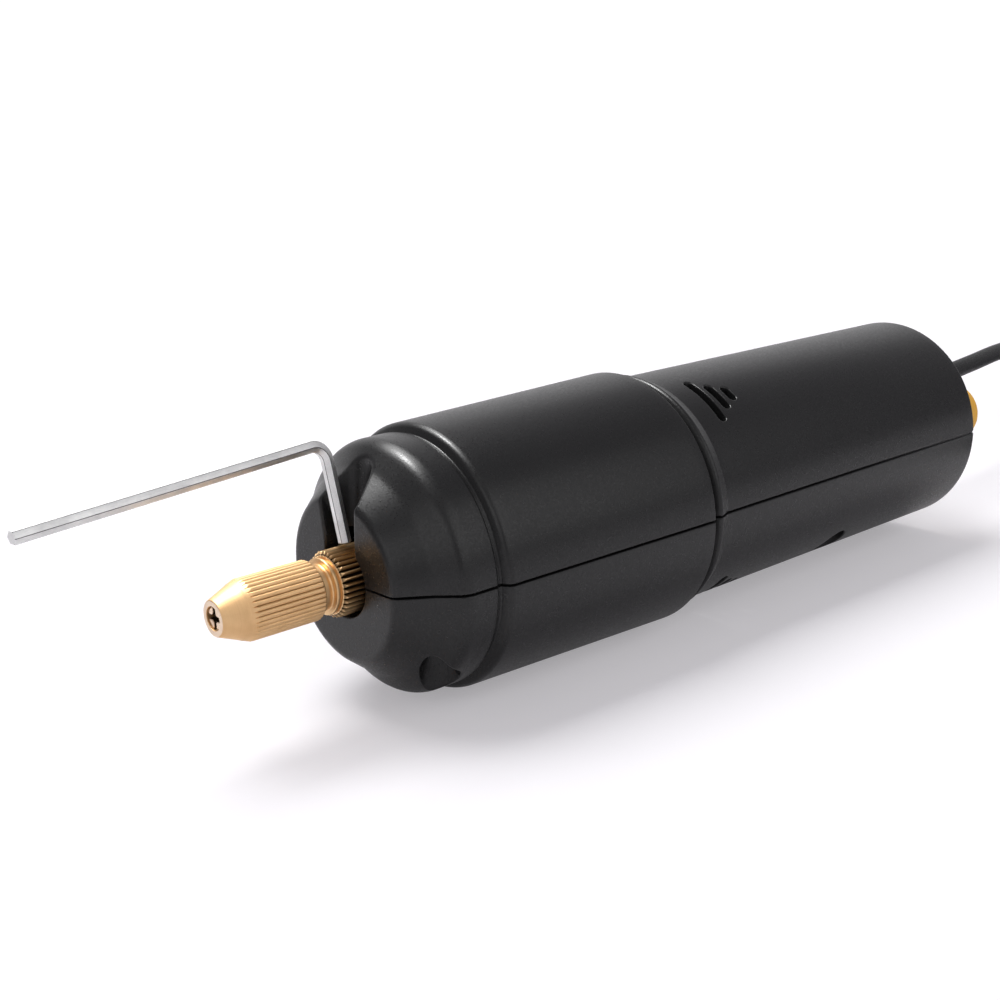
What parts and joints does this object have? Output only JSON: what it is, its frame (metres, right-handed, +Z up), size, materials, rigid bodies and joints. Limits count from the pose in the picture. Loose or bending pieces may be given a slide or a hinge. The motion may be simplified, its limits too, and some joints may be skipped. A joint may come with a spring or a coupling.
{
  "type": "mini electric drill",
  "caption": "Slim corded mini drill with a moulded two-part body, a knurled collet chuck, a bent hexagon key over the chuck and a push switch in the rear face.",
  "frame": {"origin": "under the middle of the drill's length from the key's tip to the button's end, on the surface that the barrel's rear rim lies on", "axes": "+X along the drill's axis towards the rear and the button, +Z up, +Y to the side on which the lead leaves"},
  "size_m": [0.2883, 0.0569, 0.0379],
  "materials": {
    "black_plastic": "matt, finely grained",
    "zinc_screw": "zinc plated",
    "chuck_brass": "machined, bright",
    "dark_steel": "hardened, dark",
    "bright_steel": "bright",
    "dark_nylon": "moulded",
    "bronze": "sintered, matt",
    "ferrite": "matt",
    "copper": "enamelled",
    "carbon": "matt",
    "yellow_plastic": "satin",
    "black_rubber": "matt",
    "black_wire": "satin",
    "red_wire": "satin",
    "cable_jacket": "satin",
    "tie_strap": "woven"
  },
  "bodies": {
    "drill": {"upper_housing": "black_plastic", "lower_housing": "black_plastic", "front_near_screw": "zinc_screw", "front_far_screw": "zinc_screw", "rear_near_screw": "zinc_screw", "rear_far_screw": "zinc_screw", "motor_can": "bright_steel", "motor_end_cap": "dark_nylon", "front_bush": "bronze", "rear_bush": "bronze", "magnet_near": "ferrite", "magnet_far": "ferrite", "brush_near": "carbon", "brush_far": "carbon", "terminal_near": "chuck_brass", "terminal_far": "chuck_brass", "switch_body": "dark_nylon", "strain_relief": "black_rubber", "return_wire": "black_wire", "supply_wire": "red_wire", "switched_wire": "red_wire", "cord_lead": "cable_jacket", "cord_coil": "cable_jacket", "cord_tail": "cable_jacket", "coil_tie": "tie_strap", "plug_overmould": "black_rubber", "plug_shell": "bright_steel", "plug_tongue": "dark_nylon"},
    "spindle": {"motor_shaft": "bright_steel", "armature_core": "dark_steel", "winding_1": "copper", "winding_2": "copper", "winding_3": "copper", "commutator": "copper", "chuck_body": "chuck_brass"},
    "clamp_screw": {"set_screw": "dark_steel"},
    "jaws": {"collet": "chuck_brass"},
    "nut": {"collet_nut": "chuck_brass"},
    "push_button": {"power_button": "yellow_plastic", "switch_plunger": "dark_nylon"},
    "key": {"hex_key": "bright_steel"}
  },
  "joints": [
    {"name": "spindle_spin", "type": "hinge", "parent": "drill", "child": "spindle", "pos_m": [-0.05873, 0, 0.01895], "axis": [1, 0, 0], "continuous": true},
    {"name": "clamp_screw_turn", "type": "hinge", "parent": "spindle", "child": "clamp_screw", "pos_m": [-0.03888, 0, 0.01895], "axis": [0, 0, 1], "range_deg": [0, 360]},
    {"name": "jaws_slide", "type": "slide", "parent": "spindle", "child": "jaws", "axis": [-1, 0, 0], "range_m": [0, 0.00225]},
    {"name": "nut_turn", "type": "hinge", "parent": "jaws", "child": "nut", "pos_m": [-0.05873, 0, 0.01895], "axis": [-1, 0, 0], "range_deg": [0, 1080]},
    {"name": "button_push", "type": "slide", "parent": "drill", "child": "push_button", "axis": [-1, 0, 0], "range_m": [0, 0.002], "stiffness_N_per_m": 750, "springref_m": -0.0005},
    {"name": "key_turn", "type": "hinge", "parent": "drill", "child": "key", "pos_m": [-0.03888, 0, 0.0238], "axis": [-0.0471, 0.1689, 0.9845], "range_deg": [-90, 90]}
  ],
  "couplings": [
    {"joint": "nut_turn", "follows": "jaws_slide", "rad_per_m": 8377.6}
  ]
}
